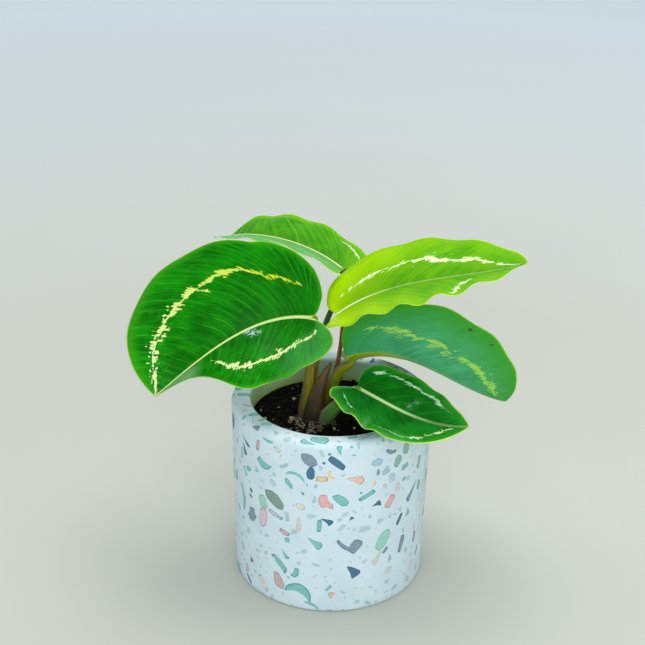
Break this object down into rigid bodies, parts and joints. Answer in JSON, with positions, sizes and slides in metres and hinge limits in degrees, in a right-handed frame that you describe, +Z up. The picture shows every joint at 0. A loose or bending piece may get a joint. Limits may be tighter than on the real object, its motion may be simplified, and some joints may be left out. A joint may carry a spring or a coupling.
{
  "type": "potted calathea",
  "caption": "Small broad-leaved foliage plant with waved, folded blades on sheathed stalks, growing in a straight terrazzo planter.",
  "frame": {"origin": "middle of the planter's flat base, on its turning axis", "axes": "+Z up along the planter's axis; -Y is the side from which the small leaf overhangs the rim"},
  "size_m": [0.1949, 0.1491, 0.1737],
  "materials": {
    "terrazzo": "matte cast terrazzo, bluish white with coloured stone chips",
    "potting_mix": "damp loose potting mix with perlite",
    "rhizome": "rough, fibrous",
    "sheath": "dry papery sheath, satin",
    "stalk_left": "smooth satin stalk, olive brown",
    "stalk_back": "smooth satin stalk, tan",
    "stalk_upper": "smooth satin stalk, reddish brown",
    "stalk_right": "smooth satin stalk, olive green",
    "stalk_front": "smooth satin stalk, green and purple",
    "blade_left": "waxy satin leaf, deep green with pale bands",
    "blade_back": "waxy satin leaf, yellow green",
    "blade_upper": "waxy satin leaf, lime with a white band",
    "blade_right": "waxy satin leaf, matte blue green beneath",
    "blade_front": "waxy satin leaf, dark green with pale bands"
  },
  "bodies": {
    "root": {"pot": "terrazzo", "potting_mix": "potting_mix", "rhizome": "rhizome", "sheath": "sheath", "stalk_left": "stalk_left", "stalk_back": "stalk_back", "stalk_upper": "stalk_upper", "stalk_right": "stalk_right", "stalk_front": "stalk_front", "blade_left": "blade_left", "blade_back": "blade_back", "blade_upper": "blade_upper", "blade_right": "blade_right", "blade_front": "blade_front"}
  },
  "joints": []
}
